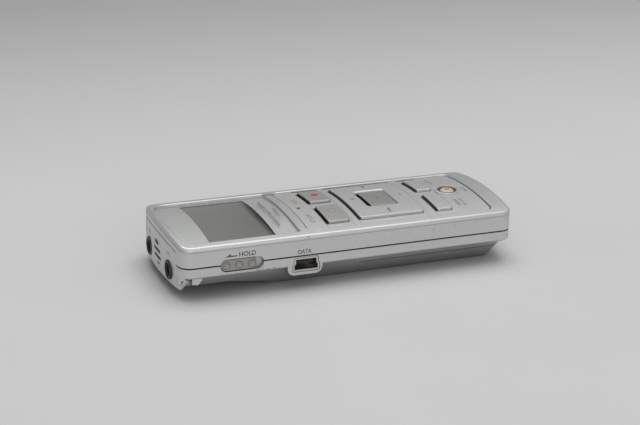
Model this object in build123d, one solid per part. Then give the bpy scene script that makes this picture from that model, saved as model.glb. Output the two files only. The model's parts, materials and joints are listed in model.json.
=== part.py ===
"""Handheld digital voice recorder, modelled piece by piece in millimetres.

The origin is at the centre of the footprint, on the plane that the recorder rests on.
+X runs from the jack end to the foot of the recorder, +Y across its width and +Z up
through the crowned keypad face.
"""
from build123d import *
import math
import os

# ---- driving dimensions of the case ----
JACK_TIP_X = -51.4        # the two ends on the centreline
FOOT_TIP_X = 51.0
WIDTH = 38.0
JACK_BOW = 1.7            # how far each end falls back from its tip at the full width
FOOT_BOW = 0.5
CORNER_R = 3.4            # plan radius of the four upright corners
Z_SEAM = 9.7              # parting line between the two case halves
SEAM_GAP = 0.42
Z_CROWN = 16.9            # top of the crowned face on its centreline
CROWN_R = 100.0           # radius of that crown, an arc across the width
RIM_PROUD = 0.4           # the rim stands above the panels by this much
RIM_FILLET = 1.0
MOUTH_R = 0.5             # rounding of the rim where it drops to the panels
CREASE = (0.1, 0.2, -0.62)            # fine line below the rim: depth, height, lift from the crown
WALL = 1.2
PANEL_T = 0.9             # lens and keypad panel, seated in pockets this deep
DECK_T = 0.9              # case material left under those pockets
PANEL_GAP = 0.2
LENS_GAP = 0.1
PANEL_FILLET = 0.25
LIP_T = 0.5               # locating lip inside the seam
LIP_TOP = 10.7

# ---- belly, below the side band ----
Z_BAND = 6.5              # bottom of the upright side band
BAND_FLOOR = 1.2
BAND_FILLET = 0.7
BELLY_STEP = 1.4          # the belly starts this far in from the band
BELLY_DRAFT = 0.738       # inward slope of the belly, mm per mm of height
BELLY_END_STEP = 2.0      # the same two measures at the foot, where the belly is steeper
BELLY_END_DRAFT = 0.32
BELLY_END_R = 2.0
Z_FRONT_BELLY = 2.85      # underside of the thin front stretch
HUMP_FOOT_X = -16.0       # where the battery hump reaches the resting plane
HUMP_RAMP = 5.9           # run over rise of the ramp up to the front stretch
BELLY_FILLET = 1.6
BELLY_INNER_FILLET = 0.8
BELLY_WALL = 1.3
BELLY_BACK_X = -62.0      # the belly form runs on past the jack end and is cut to it

# ---- jack end ----
CAP_T = 1.2
CAP_HALF_W = 14.45
CAP_LIFT = -2.5                       # its top edge follows the crown this far down
CAP_EDGE_R = 0.3
CAP_GAP = 0.3
JACK_Y = 9.46
JACK_Z = 6.54
JACK_BORE_R = 1.8
JACK_MOUTH = 0.5
COLLAR_R = 2.75
COLLAR_TIP_X = -51.4
JACK_BODY = (-49.0, -36.4, 3.1)       # low x, high x, half width
JACK_BOTTOM_Z = 4.2
JACK_ROOM = (13.1, 3.7, 12.0)         # open space behind the end cap: half width, low z, high z
JACK_BORE_END_X = -37.4
GRILLE_R = 4.0
GRILLE_T = 1.2
MIC_Z = 8.1
MIC_R = 3.0
BOOT_R = 3.6
# Each slot of the grille: middle along Y, middle height, length, thickness.
MIC_SLOTS = [(0.8, 11.0, 3.8, 1.3), (0.5, 8.9, 6.4, 1.0), (0.0, 6.95, 6.2, 1.0), (-0.9, 5.25, 2.4, 0.6)]

# ---- display ----
LENS = (-49.4, -14.8, 15.9)           # low x, high x, half width
LENS_R = (4.6, 1.0)                   # corner radii at the jack end and at the keypad end
MASK_T = 0.15
MASK_GAP = 0.02
WINDOW = (-40.8, -21.4, 14.9)
LCD = (-41.3, -20.9, 15.1)
Z_LCD_TOP = 14.7
LCD_T = 1.2
LCD_FRAME_T = 1.0

# ---- keypad ----
PANEL = (-12.0, 45.1, 15.9)           # low x, high x, half width
PANEL_R = 2.0
TRAYS = [(-5.8, 2.3), (4.2, 25.6), (28.2, 34.4)]    # sunken strips that the keys stand in
TRAY_DEPTH = 0.3
TRAY_SLOPE = 0.5                      # run of the trays' sloping walls
BEZEL = (3.75, 0.25, 0.2)             # raised ring round the round key: radius, height, rounding
KEY_PROUD = 0.5
KEY_GAP = 0.2
KEY_GAP_JACK_END = 0.55               # the wider gap on each key's side nearer the jacks
KEY_FILLET = 0.35
KEY_R = 0.8
Z_KEY_FOOT = 13.6                     # underside of every key at rest
FLANGE_T = 0.55
FLANGE_OUT = 0.7
KEYS = {                              # low x, high x, low y, high y
    "record_key": (-5.15, 1.5, 1.8, 12.9),
    "stop_key": (-5.15, 1.5, -12.9, -1.8),
    "folder_key": (28.9, 33.8, 1.8, 12.9),
    "menu_key": (28.9, 33.8, -12.9, -1.8),
}
NAV = (4.7, 24.9, 12.8)
NAV_R = 1.2
NAV_PROUD = 0.55
NAV_HOLE = (10.2, 19.4, 6.0)
NAV_HOLE_R = 0.9
NAV_MOUTH_R = 0.85
CENTRE_KEY = (11.1, 19.2, 5.65)
Z_CENTRE_KEY_FOOT = 14.95
CENTRE_KEY_LIFT = 0.3
NAV_X = 14.8                          # centre of the rocker
Z_NAV_UNDER = 14.5
NAV_PUSH_Y = 10.5
NAV_PUSH_X = 8.2
CARRIER = (3.5, 26.1, 6.0)
CARRIER_Z = (13.75, 14.3)
RIDGE_R = 0.4
ROUND_KEY = (38.0, 2.2, 2.95)         # x, cap radius, ring radius
RING_GAP = 0.02
LAMP = (-9.7, -1.0, 0.6)              # x, y, radius
LAMP_GAP = 0.02

# ---- side features on the -Y face ----
HOLD_SLOT = (-39.05, -26.4, 3.7)     # low x, high x, height
HOLD_Z = 9.45
KNOB_LEN = 10.55
KNOB_H = 3.3
KNOB_GAP = 0.1
KNOB_INSET = 0.08
DIMPLE = (3.7, 1.05, 0.3)             # step, radius, depth
SOCKET_X = -13.9
SOCKET_Z = (5.6, 8.65)                # inside of the shell
SOCKET_W = 6.95
SOCKET_NECK = (0.45, 1.3, 1.75)         # inset of the neck, heights where the step starts and ends
SOCKET_SHELL_T = 0.5
SOCKET_DEPTH = 9.0
SOCKET_GAP = 0.15
TONGUE = (2.35, 7.1, 7.8)             # half width, bottom z, top z
PIN = (0.3, 0.12, 0.9)                # width, thickness, pitch
BOSS = (-19.4, -9.1, 4.1)             # data socket surround: low x, high x, bottom z
BOSS_R = 2.0

# ---- batteries and door ----
CELL_R = 5.25                         # AAA cells
CELL_LEN = 44.5
CELL_X0 = -1.3
CELL_Z = 6.5
CELL_Y = 5.35
NUB = (1.9, 1.0)                      # radius, length
BAY = (-5.1, 43.6, 10.75, 11.85)      # low x, high x, half width, ceiling z
BAY_WALL = 0.8
BAY_CEILING_T = 0.4
Z_DOOR = 4.45                         # parting line between door and case
LEDGE_T = 0.8
DOOR_T = 1.2
DOOR_GAP = 0.2
DOOR_ARC_R = 21.5
DOOR_ARC_X = 17.5                     # centre of the arc at the door's leading edge
ARC_WALL_T = 1.2

# ---- boards, speaker and fastenings ----
BOARD_T = 0.6
Z_MAIN_BOARD = 12.3
MAIN_BOARD = (-14.5, 46.3, 16.4)
Z_SIGNAL_BOARD = 9.3
SIGNAL_BOARD = (-44.8, -10.6, 15.9)
DOME_R = 2.2
DOME_H = 0.25
FILM_T = 0.1
FRONT_SCREW = (-8.1, 10.2)
REAR_SCREW = (43.4, 13.8)
BOSS_POST_R = 2.1
SCREW_R = 0.78
SCREW_HOLE_R = 0.8
SCREW_PASS_R = 0.95
SCREW_HEAD = (1.5, 0.9)
SCREW_SEAT = {"front": 2.2, "rear": 5.6}
SCREW_TIP_Z = 13.0
SPEAKER = (-30.0, 0.0, 7.0)           # x, y, radius
SPEAKER_HOLE_R = 0.6
SPEAKER_RING = 2.3                    # step from one ring of sound holes to the next

# ---- strap post ----
CORNER_LOBE = (-48.9, 6.5)            # at the jack end the case keeps its full width: high x, rounding
STRAP_NOTCH = (-49.7, -46.75, 3.3, 2.3, 6.2)      # low x, high x, depth in, low z, high z
STRAP_R = 0.95
STRAP_GAP = 0.02                      # clearance of the post in its two sockets
STRAP_TOP = (-47.9, -17.3, 6.5)
STRAP_FOOT = (-49.6, -15.3, 3.35)
STRAP_LUG = [(-46.85, 6.7), (-43.8, 6.7), (-44.0, 5.8), (-45.2, 4.5), (-46.85, 4.8)]
STRAP_LUG_Y = (-18.2, -15.8)

# Everything is drawn in one layout, then moved along X so that both ends lie equally
# far from the origin.
SHIFT_X = -(JACK_TIP_X + FOOT_TIP_X) / 2
TALL = 24.0
WIDE = 30.0


# ---- shared shapes ----
def prism(face, z0, z1):
    """Upright extrusion of a flat face between two heights."""
    return Pos(0, 0, z0) * extrude(face, amount=z1 - z0)


def rect(x0, x1, y0, y1, r=0.0):
    """Axis-aligned rectangle face, with rounded corners if r is given."""
    size = (x1 - x0, y1 - y0)
    shape = RectangleRounded(*size, r) if r else Rectangle(*size)
    return Pos((x0 + x1) / 2, (y0 + y1) / 2) * shape


def block(x0, x1, y0, y1, z0, z1):
    """Plain box between six planes."""
    return prism(rect(x0, x1, y0, y1), z0, z1)


def rod(x, y, r, z0, z1):
    """Upright cylinder."""
    return prism(Pos(x, y) * Circle(r), z0, z1)


def rod_x(x0, x1, y, z, r):
    """Cylinder lying along X."""
    return Pos((x0 + x1) / 2, y, z) * Rot(0, 90, 0) * Cylinder(r, x1 - x0)


def crown(lift):
    """Everything under the crowned face, moved up by lift."""
    return Pos(0, 0, Z_CROWN - CROWN_R) * Rot(0, 90, 0) * Cylinder(CROWN_R + lift, 160)


def under_crown(face, z0, lift):
    """Prism from z0 up to the crowned face moved up by lift."""
    return prism(face, z0, TALL) & crown(lift)


def case_outline(inset=0.0):
    """Plan outline of the case: straight sides, bowed ends, rounded corners."""
    half_w = WIDTH / 2 - inset
    jack_tip = JACK_TIP_X + inset
    foot_tip = FOOT_TIP_X - inset
    jack_edge = jack_tip + JACK_BOW
    foot_edge = foot_tip - FOOT_BOW
    lines = [
        Line((jack_edge, -half_w), (foot_edge, -half_w)),
        ThreePointArc((foot_edge, -half_w), (foot_tip, 0), (foot_edge, half_w)),
        Line((foot_edge, half_w), (jack_edge, half_w)),
        ThreePointArc((jack_edge, half_w), (jack_tip, 0), (jack_edge, -half_w)),
    ]
    face = make_face(Wire(lines))
    return fillet(face.vertices(), max(CORNER_R - inset, 0.6))


def belly_outline(inset, end_inset, left):
    """Plan outline of the belly at one height, square at its jack end."""
    half_w = WIDTH / 2 - inset
    tip = FOOT_TIP_X - end_inset
    edge = tip - FOOT_BOW
    lines = [
        Line((left, -half_w), (edge, -half_w)),
        ThreePointArc((edge, -half_w), (tip, 0), (edge, half_w)),
        Line((edge, half_w), (left, half_w)),
        Line((left, half_w), (left, -half_w)),
    ]
    face = make_face(Wire(lines))
    right = face.vertices().sort_by(Axis.X)[-2:]
    return fillet(right, BELLY_END_R)


def belly_part(t, z_low, left_low, left_high):
    """One tapered stretch of the belly, shrunk by t."""
    z0 = z_low + t
    fall = Z_BAND - z0
    step = BELLY_STEP + t
    end_step = BELLY_END_STEP + t
    low_outline = belly_outline(step + fall * BELLY_DRAFT, end_step + fall * BELLY_END_DRAFT, left_low)
    high_outline = belly_outline(step, end_step, left_high)
    part = loft([Pos(0, 0, z0) * low_outline, Pos(0, 0, Z_BAND) * high_outline], ruled=True)
    bottom = part.faces().sort_by(Axis.Z)[0]
    return fillet(bottom.edges(), max(BELLY_FILLET - t, BELLY_INNER_FILLET))


def belly(t=0.0):
    """The whole belly: the thin front stretch and the battery hump."""
    front = belly_part(t, Z_FRONT_BELLY, BELLY_BACK_X, BELLY_BACK_X)
    run = (Z_BAND - t) * HUMP_RAMP
    hump = belly_part(t, 0.0, HUMP_FOOT_X + t, HUMP_FOOT_X + t - run)
    return front + hump


def stadium(x0, x1, z, h, y0, y1):
    """Slot-shaped bar lying along X, between two depths in Y."""
    face = Pos((x0 + x1) / 2, y1, z) * Rot(90, 0, 0) * SlotOverall(x1 - x0, h)
    return extrude(face, amount=y1 - y0)


def save(name, shape):
    """Moves a finished piece to the frame's origin and writes its STEP file."""
    moved = Pos(SHIFT_X, 0, 0) * shape
    parts = moved.solids()
    result = parts[0] if len(parts) == 1 else Compound(children=list(parts))
    export_step(result, f"parts/{name}.step")


# ---- case ----
def upper_form():
    """Solid form of the upper half, with its rounded rim and the fine line below it."""
    form = under_crown(case_outline(), Z_SEAM + SEAM_GAP / 2, RIM_PROUD)
    form = fillet(form.faces().sort_by(Axis.Z)[-1].edges(), RIM_FILLET)
    depth, height, lift = CREASE
    skin = case_outline(-1) - case_outline(depth)
    return form - (prism(skin, Z_SEAM, TALL) & (crown(lift) - crown(lift - height)))


def mouth_edges(form):
    """Edges round every hole in the highest face that has one."""
    pierced = [face for face in form.faces() if face.inner_wires()]
    top = max(pierced, key=lambda face: face.center().Z)
    return [edge for wire in top.inner_wires() for edge in wire.edges()]


def rim_form():
    """Upper form with the lens and keypad pockets; their mouths are rounded and the bridge is low."""
    pockets = prism(lens_outline(LENS_GAP), Z_SEAM, TALL) + prism(panel_outline(PANEL_GAP), Z_SEAM, TALL)
    form = upper_form() - (pockets - crown(-PANEL_T))
    form = fillet(mouth_edges(form), MOUTH_R)
    bridge = rect(LENS[1], PANEL[0], -LENS[2] + LENS_R[1], LENS[2] - LENS_R[1])
    return form - (prism(bridge, Z_SEAM, TALL) - crown(0))


def lower_form():
    """Solid form of the lower half: side band, belly, data socket surround and jack-end corners."""
    band = prism(case_outline(), Z_BAND, Z_SEAM - SEAM_GAP / 2)
    band = fillet(band.faces().sort_by(Axis.Z)[0].edges(), BAND_FILLET)
    low_belly = belly() & prism(case_outline(), -1, Z_BAND)
    x0, x1, z0 = BOSS
    boss = block(x0, x1, -WIDTH / 2, -WIDTH / 2 + 6, z0, Z_BAND + 1)
    boss = fillet(boss.edges().filter_by(Axis.Y).sort_by(Axis.Z)[:2], BOSS_R)
    lobe_x, lobe_r = CORNER_LOBE
    lobe = block(-60, lobe_x, -WIDTH / 2, WIDTH / 2, Z_FRONT_BELLY, Z_SEAM - SEAM_GAP / 2)
    lobe = fillet(lobe.edges().filter_by(Axis.X).sort_by(Axis.Z)[:2], lobe_r)
    return band + low_belly + boss + (lobe & prism(case_outline(), -1, TALL))


def cap_zone(grow):
    """Everything that lies in the end cap's place, grown by a gap."""
    half_w = CAP_HALF_W + grow
    bar = block(-60, -40, -half_w, half_w, -1, TALL) & crown(CAP_LIFT + grow)
    return bar - prism(Pos(CAP_T + grow, 0) * case_outline(), -2, TALL)


def lens_outline(grow=0.0):
    """Plan outline of the lens, bowed at the jack end like the case."""
    x0, x1, half_w = LENS
    half_w += grow
    bow = JACK_BOW * (half_w / (WIDTH / 2)) ** 2
    face = make_face(Wire([
        Line((x0 + bow, -half_w), (x1 + grow, -half_w)),
        Line((x1 + grow, -half_w), (x1 + grow, half_w)),
        Line((x1 + grow, half_w), (x0 + bow, half_w)),
        ThreePointArc((x0 + bow, half_w), (x0 - grow, 0), (x0 + bow, -half_w)),
    ]))
    corners = face.vertices().sort_by(Axis.X)
    face = fillet(corners[:2], LENS_R[0] + grow)
    return fillet(face.vertices().sort_by(Axis.X)[-2:], LENS_R[1] + grow)


def panel_outline(grow=0.0):
    """Plan outline of the keypad panel."""
    x0, x1, half_w = PANEL
    return rect(x0 - grow, x1 + grow, -half_w - grow, half_w + grow, PANEL_R + grow)


def key_outline(name, grow=0.0):
    """Plan outline of one of the four rectangular keys."""
    x0, x1, y0, y1 = KEYS[name]
    return rect(x0 - grow, x1 + grow, y0 - grow, y1 + grow, KEY_R + grow)


def nav_outline():
    """Plan outline of the navigation plate."""
    x0, x1, half_w = NAV
    return rect(x0, x1, -half_w, half_w, NAV_R)


def key_opening(x0, x1, y0, y1, r):
    """Hole through the deck and the panel round one key."""
    plan = rect(x0 - KEY_GAP_JACK_END, x1 + KEY_GAP, y0 - KEY_GAP, y1 + KEY_GAP, r + KEY_GAP)
    return prism(plan, Z_SEAM, TALL)


def key_openings():
    """Every hole that the keys and the lamp need in the deck and the panel."""
    holes = [key_opening(*box, KEY_R) for box in KEYS.values()]
    x0, x1, half_w = NAV
    holes.append(key_opening(x0, x1, -half_w, half_w, NAV_R))
    holes.append(rod(LAMP[0], LAMP[1], LAMP[2] + LAMP_GAP, Z_SEAM, TALL))
    return holes


def hold_slot():
    """The slot through the side wall that the hold knob runs in."""
    x0, x1, h = HOLD_SLOT
    return stadium(x0, x1, HOLD_Z, h, -WIDE, -WIDTH / 2 + WALL + 0.4)


def hold_guide_room():
    """Pocket behind the slot for the hold guide."""
    x0, x1, _ = HOLD_SLOT
    return block(x0 - 1.6, x1 + 1.6, -WIDTH / 2 + WALL, -15.9, 6.95, 12.2)


def screw_places():
    """Which pair it belongs to and the plan position, for each screw."""
    places = []
    for side in (-1, 1):
        places.append(("front", FRONT_SCREW[0], side * FRONT_SCREW[1]))
        places.append(("rear", REAR_SCREW[0], side * REAR_SCREW[1]))
    return places


def front_case():
    shell = rim_form()
    shell -= under_crown(case_outline(WALL), Z_SEAM - 1, -(PANEL_T + DECK_T))
    x0, x1, half_w = LCD
    shell -= block(x0 - 0.1, x1 + 0.1, -half_w - 0.1, half_w + 0.1, Z_SEAM, TALL)
    for hole in key_openings():
        shell -= hole
    shell -= rod(ROUND_KEY[0], 0, ROUND_KEY[1] + KEY_GAP, Z_SEAM, TALL)
    shell -= cap_zone(CAP_GAP)
    shell -= hold_slot()
    for _, x, y in screw_places():
        post = under_crown(Pos(x, y) * Circle(BOSS_POST_R), Z_SEAM + SEAM_GAP / 2, -(PANEL_T + DECK_T) + 0.1)
        shell += post - rod(x, y, SCREW_HOLE_R, Z_SEAM, SCREW_TIP_Z + 0.3)
    return shell


def door_zone(grow):
    """Everything on the door's side of its parting line."""
    plan = Pos(DOOR_ARC_X, 0) * Circle(DOOR_ARC_R + grow) + rect(DOOR_ARC_X, 70, -WIDE, WIDE)
    return prism(plan, -5, Z_DOOR + min(grow, 0))


def rear_cavity():
    """Hollow of the lower half."""
    upper = prism(case_outline(WALL), Z_BAND + BAND_FLOOR, Z_SEAM)
    neck = prism(case_outline(BELLY_STEP + BELLY_WALL), Z_BAND - 0.1, Z_BAND + BAND_FLOOR)
    low = belly(BELLY_WALL) & prism(case_outline(BELLY_WALL), 0, Z_BAND)
    return upper + neck + low


def seam_lip():
    """Locating lip that stands up from the lower half inside the seam."""
    foot = case_outline(WALL - 0.2) - case_outline(WALL + 0.08 + LIP_T)
    tongue = case_outline(WALL + 0.08) - case_outline(WALL + 0.08 + LIP_T)
    return prism(foot, Z_BAND + BAND_FLOOR, Z_SEAM - SEAM_GAP / 2) + prism(tongue, Z_SEAM - SEAM_GAP, LIP_TOP)


def rear_case():
    form = lower_form()
    shell = form - rear_cavity()
    ledge = block(BAY[0] - 2, 60, -WIDE, WIDE, Z_DOOR, Z_DOOR + LEDGE_T)
    ring = Circle(DOOR_ARC_R + ARC_WALL_T) - Circle(DOOR_ARC_R)
    arc_wall = prism(Pos(DOOR_ARC_X, 0) * ring, 0, Z_DOOR) - block(DOOR_ARC_X, 70, -WIDE, WIDE, -1, TALL)
    shell += (ledge + arc_wall) & form
    shell -= door_zone(0)
    shell += seam_lip()
    for kind, x, y in screw_places():
        foot = 0.5 if kind == "front" else Z_DOOR
        shell += rod(x, y, BOSS_POST_R, foot, Z_SEAM - SEAM_GAP / 2 - 0.1)
        shell -= rod(x, y, SCREW_PASS_R, -1, TALL)
        shell -= rod(x, y, SCREW_HEAD[0] + 0.15, -1, SCREW_SEAT[kind])
    x0, x1, half_w, _ = BAY
    shell -= block(x0, x1, -half_w, half_w, Z_DOOR - 0.01, Z_DOOR + LEDGE_T + 0.01)
    shell -= cap_zone(CAP_GAP)
    shell -= block(-60, JACK_BODY[0] + 3, -JACK_ROOM[0], JACK_ROOM[0], JACK_ROOM[1], JACK_ROOM[2])
    shell -= hold_slot() + hold_guide_room()
    shell -= socket_bar(SOCKET_SHELL_T + SOCKET_GAP, -WIDE, -WIDTH / 2 + SOCKET_DEPTH + 1)
    for x, y in speaker_holes():
        shell -= rod(x, y, SPEAKER_HOLE_R, -1, Z_FRONT_BELLY + BELLY_WALL + 0.5)
    return shell - strap_notch() + strap_lug() - strap_bar(STRAP_GAP)


def jack_end_cap():
    cap = (upper_form() + lower_form() + prism(case_outline(), Z_BAND, Z_SEAM + 1)) & cap_zone(0.0)
    outer = cap.faces().sort_by(Axis.X)[0]
    upright = [edge for edge in outer.edges() if edge.length > CAP_EDGE_R * 10]
    cap = fillet(upright, CAP_EDGE_R)
    for side in (-1, 1):
        cap -= rod_x(-60, -45, side * JACK_Y, JACK_Z, COLLAR_R + 0.03)
    cap -= rod_x(-60, -45, 0, MIC_Z, GRILLE_R + 0.05)
    return cap


# ---- jack end pieces ----
def jack(side):
    """One 3.5 mm jack: moulded body and collar with one blind bore."""
    x0, x1, half_w = JACK_BODY
    y = side * JACK_Y
    body = block(x0, x1, y - half_w, y + half_w, JACK_BOTTOM_Z, Z_SIGNAL_BOARD)
    body = fillet(body.edges().filter_by(Axis.X), 0.5)
    body += rod_x(COLLAR_TIP_X, x0 + 1, y, JACK_Z, COLLAR_R)
    rim = body.edges().filter_by(GeomType.CIRCLE).sort_by(Axis.X)[0]
    body = fillet(rim, 0.25)
    mouth = Rot(0, 90, 0) * Cone(JACK_BORE_R + JACK_MOUTH, JACK_BORE_R, JACK_MOUTH)
    body -= Pos(COLLAR_TIP_X + JACK_MOUTH / 2, y, JACK_Z) * mouth
    return body - rod_x(COLLAR_TIP_X - 1, JACK_BORE_END_X, y, JACK_Z, JACK_BORE_R)


def jack_contacts():
    """Solder lugs on the flanks of both jack bodies."""
    half_w = JACK_BODY[2]
    lugs = []
    for side in (-1, 1):
        for flank in (-1, 1):
            y = side * JACK_Y + flank * half_w
            for x in (-46.0, -43.0, -40.0):
                lugs.append(block(x, x + 0.9, min(y, y + 0.2 * flank), max(y, y + 0.2 * flank), 5.0, Z_SIGNAL_BOARD))
    return Compound(children=lugs)


def mic_grille():
    """Slotted disc, curved like the end face, set in the end cap."""
    disc = rod_x(-60, -45, 0, MIC_Z, GRILLE_R) & prism(case_outline(), -1, TALL)
    disc -= prism(Pos(GRILLE_T, 0) * case_outline(), -1, TALL)
    for y, z, length, thick in MIC_SLOTS:
        slot = Pos(-60, y, z) * Rot(0, 90, 0) * Rot(0, 0, 90) * SlotOverall(length, thick)
        disc -= extrude(slot, amount=20)
    return disc


def mic_capsule():
    can = rod_x(-49.4, -46.2, 0, MIC_Z, MIC_R)
    can = fillet(can.edges().filter_by(GeomType.CIRCLE), 0.3)
    return can - rod_x(-49.5, -49.1, 0, MIC_Z, 0.8)


def mic_boot():
    """Rubber sleeve round the microphone capsule."""
    return rod_x(-49.6, -45.6, 0, MIC_Z, BOOT_R) - rod_x(-49.7, -46.18, 0, MIC_Z, MIC_R + 0.02)


def strap_notch():
    """Recess at the jack end's lower corner, behind the strap post."""
    x0, x1, depth, z0, z1 = STRAP_NOTCH
    notch = block(x0, x1, -WIDTH / 2 - 1, -WIDTH / 2 + depth, z0, z1)
    return fillet(notch.edges().filter_by(Axis.Y), 0.6)


def strap_lug():
    """Flat lug beside the recess that keeps the wrist loop in place."""
    y0, y1 = STRAP_LUG_Y
    face = Pos(0, y1, 0) * Rot(90, 0, 0) * make_face(Polyline(STRAP_LUG, close=True))
    lug = extrude(face, amount=y1 - y0)
    return fillet(lug.edges().filter_by(Axis.Y).sort_by(Axis.Z)[:3], 0.3)


def strap_bar(grow=0.0):
    """Post across the recess, which a wrist cord is looped round; a grown one cuts its sockets."""
    path = Line(STRAP_TOP, STRAP_FOOT)
    post = sweep(Plane(path @ 0, z_dir=path % 0) * Circle(STRAP_R + grow), path=path)
    return post - cap_zone(CAP_GAP)


# ---- display ----
def display_lens():
    lens = under_crown(lens_outline(), Z_SEAM, 0) - crown(-(PANEL_T - MASK_T - MASK_GAP))
    return fillet(lens.faces().sort_by(Axis.Z)[-1].edges(), PANEL_FILLET)


def lens_mask():
    """Printed silver border behind the lens, open at the window."""
    film = under_crown(lens_outline(), Z_SEAM, -(PANEL_T - MASK_T)) - crown(-PANEL_T)
    x0, x1, half_w = WINDOW
    return film - prism(rect(x0, x1, -half_w, half_w, 0.5), Z_SEAM, TALL)


def lcd_panel():
    x0, x1, half_w = LCD
    glass = block(x0, x1, -half_w, half_w, Z_LCD_TOP - LCD_T, Z_LCD_TOP)
    return chamfer(glass.edges().filter_by(Axis.Z), 0.4)


def lcd_frame():
    x0, x1, half_w = LCD
    top = Z_LCD_TOP - LCD_T
    frame = block(x0 - 1.6, x1 + 1.6, -half_w - 0.9, half_w + 0.9, top - LCD_FRAME_T, top)
    return frame - block(x0 + 2, x1 - 2, -half_w + 2, half_w - 2, top - 2, top - 0.4)


def lcd_flex():
    x0 = LCD[1] + 1.6
    z = Z_LCD_TOP - LCD_T - LCD_FRAME_T
    return block(x0, MAIN_BOARD[0], -6, 6, z + 0.1, z + 0.25)


# ---- keypad ----
def tray(x0, x1):
    """Sunken strip with sloping walls, which follows the crown."""
    low = CROWN_R - TRAY_DEPTH
    high = CROWN_R + 1
    run = (high - low) * TRAY_SLOPE / TRAY_DEPTH
    x0 += TRAY_SLOPE / 2
    x1 -= TRAY_SLOPE / 2
    profile = Polyline((x0, low), (x1, low), (x1 + run, high), (x0 - run, high), close=True)
    strip = revolve(Plane.XZ * make_face(profile), Axis.X)
    return Pos(0, 0, Z_CROWN - CROWN_R) * strip


def keypad_panel():
    """Keypad plate: sunken trays across it, and a raised bezel round the round key."""
    panel = under_crown(panel_outline(), Z_SEAM, 0) - crown(-PANEL_T)
    panel = fillet(panel.faces().sort_by(Axis.Z)[-1].edges(), PANEL_FILLET)
    for x0, x1 in TRAYS:
        panel -= tray(x0, x1)
    for hole in key_openings():
        panel -= hole
    bezel_r, height, rounding = BEZEL
    bezel = rod(ROUND_KEY[0], 0, bezel_r, Z_CROWN - PANEL_T / 2, Z_CROWN + height)
    panel += fillet(bezel.faces().sort_by(Axis.Z)[-1].edges(), rounding)
    return panel - rod(ROUND_KEY[0], 0, ROUND_KEY[2] + RING_GAP, Z_SEAM, TALL)


def key(name):
    """Key cap with a flange that holds it under the deck."""
    cap = under_crown(key_outline(name), Z_KEY_FOOT, KEY_PROUD)
    cap = fillet(cap.faces().sort_by(Axis.Z)[-1].edges(), KEY_FILLET)
    return cap + prism(key_outline(name, FLANGE_OUT), Z_KEY_FOOT, Z_KEY_FOOT + FLANGE_T)


def nav_plate():
    """Four-way plate round the centre key."""
    plate = under_crown(nav_outline(), Z_NAV_UNDER, NAV_PROUD)
    plate = fillet(plate.faces().sort_by(Axis.Z)[-1].edges(), KEY_FILLET)
    x0, x1, half_w = NAV_HOLE
    plate -= prism(rect(x0, x1, -half_w, half_w, NAV_HOLE_R), Z_SEAM, TALL)
    plate = fillet(mouth_edges(plate), NAV_MOUTH_R)
    for side in (-1, 1):
        plate += rod(NAV_X, side * NAV_PUSH_Y, 1.2, Z_KEY_FOOT, Z_NAV_UNDER + 0.2)
    return plate


def nav_carrier():
    """Actuator under the plate: it rocks fore and aft, and the plate rocks sideways on it."""
    x0, x1, half_w = CARRIER
    z0, z1 = CARRIER_Z
    body = prism(rect(x0, x1, -half_w, half_w, 1.5), z0, z1)
    body -= block(NAV_X - 2.9, NAV_X + 2.9, -2.9, 2.9, z0 - 1, z1 + 1)
    for side in (-1, 1):
        x = NAV_X + side * NAV_PUSH_X
        body += rod(x, 0, 1.2, Z_KEY_FOOT - 0.02, z0 + 0.1)
        body += Pos(NAV_X, side * 4.5, ridge_z("lower")) * Rot(90, 0, 0) * Cylinder(RIDGE_R, 1.8)
        ridge_x = NAV_X + side * 6.9
        body += Pos(ridge_x, 0, ridge_z("upper")) * Rot(0, 90, 0) * Cylinder(RIDGE_R, 3.2)
    return body


def ridge_z(which):
    """Height of a rocking axis: on the dome film, or just under the plate."""
    if which == "lower":
        return Z_MAIN_BOARD + BOARD_T + DOME_H + FILM_T + RIDGE_R + 0.02
    return Z_NAV_UNDER - RIDGE_R - 0.02


def centre_key():
    """Centre key: its cap hangs over a square foot that reaches the switch."""
    x0, x1, half_w = CENTRE_KEY
    cap = under_crown(rect(x0, x1, -half_w, half_w, 0.5), Z_CENTRE_KEY_FOOT, CENTRE_KEY_LIFT)
    cap = fillet(cap.faces().sort_by(Axis.Z)[-1].edges(), 0.25)
    foot = block(NAV_X - 2.2, NAV_X + 2.2, -2.2, 2.2, Z_KEY_FOOT, Z_CENTRE_KEY_FOOT + 0.2)
    return cap + foot


def round_key():
    x, r, _ = ROUND_KEY
    cap = rod(x, 0, r, Z_KEY_FOOT, Z_CROWN + 0.4)
    cap = fillet(cap.faces().sort_by(Axis.Z)[-1].edges(), 0.9)
    return cap + rod(x, 0, r + FLANGE_OUT + KEY_GAP, Z_KEY_FOOT, Z_KEY_FOOT + FLANGE_T)


def round_key_ring():
    x, r, ring_r = ROUND_KEY
    ring = rod(x, 0, ring_r, Z_CROWN - PANEL_T, Z_CROWN + 0.2) - rod(x, 0, r + KEY_GAP, Z_SEAM, TALL)
    return fillet(ring.faces().sort_by(Axis.Z)[-1].edges(), 0.15)


def lamp_pipe():
    x, y, r = LAMP
    return under_crown(Pos(x, y) * Circle(r), Z_MAIN_BOARD + BOARD_T, 0)


def switch_places():
    """Centre of every dome switch."""
    places = [((k[0] + k[1]) / 2, (k[2] + k[3]) / 2) for k in KEYS.values()]
    places += [(NAV_X, 0), (ROUND_KEY[0], 0)]
    for side in (-1, 1):
        places.append((NAV_X, side * NAV_PUSH_Y))
        places.append((NAV_X + side * NAV_PUSH_X, 0))
    return places


def dome_switches():
    """Snap domes on the main board."""
    top = Z_MAIN_BOARD + BOARD_T
    ball_r = (DOME_R ** 2 + DOME_H ** 2) / (2 * DOME_H)
    dome = Pos(0, 0, top + DOME_H - ball_r) * Sphere(ball_r) & block(-5, 5, -5, 5, top, TALL)
    return Compound(children=[Pos(x, y, 0) * dome for x, y in switch_places()])


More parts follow.
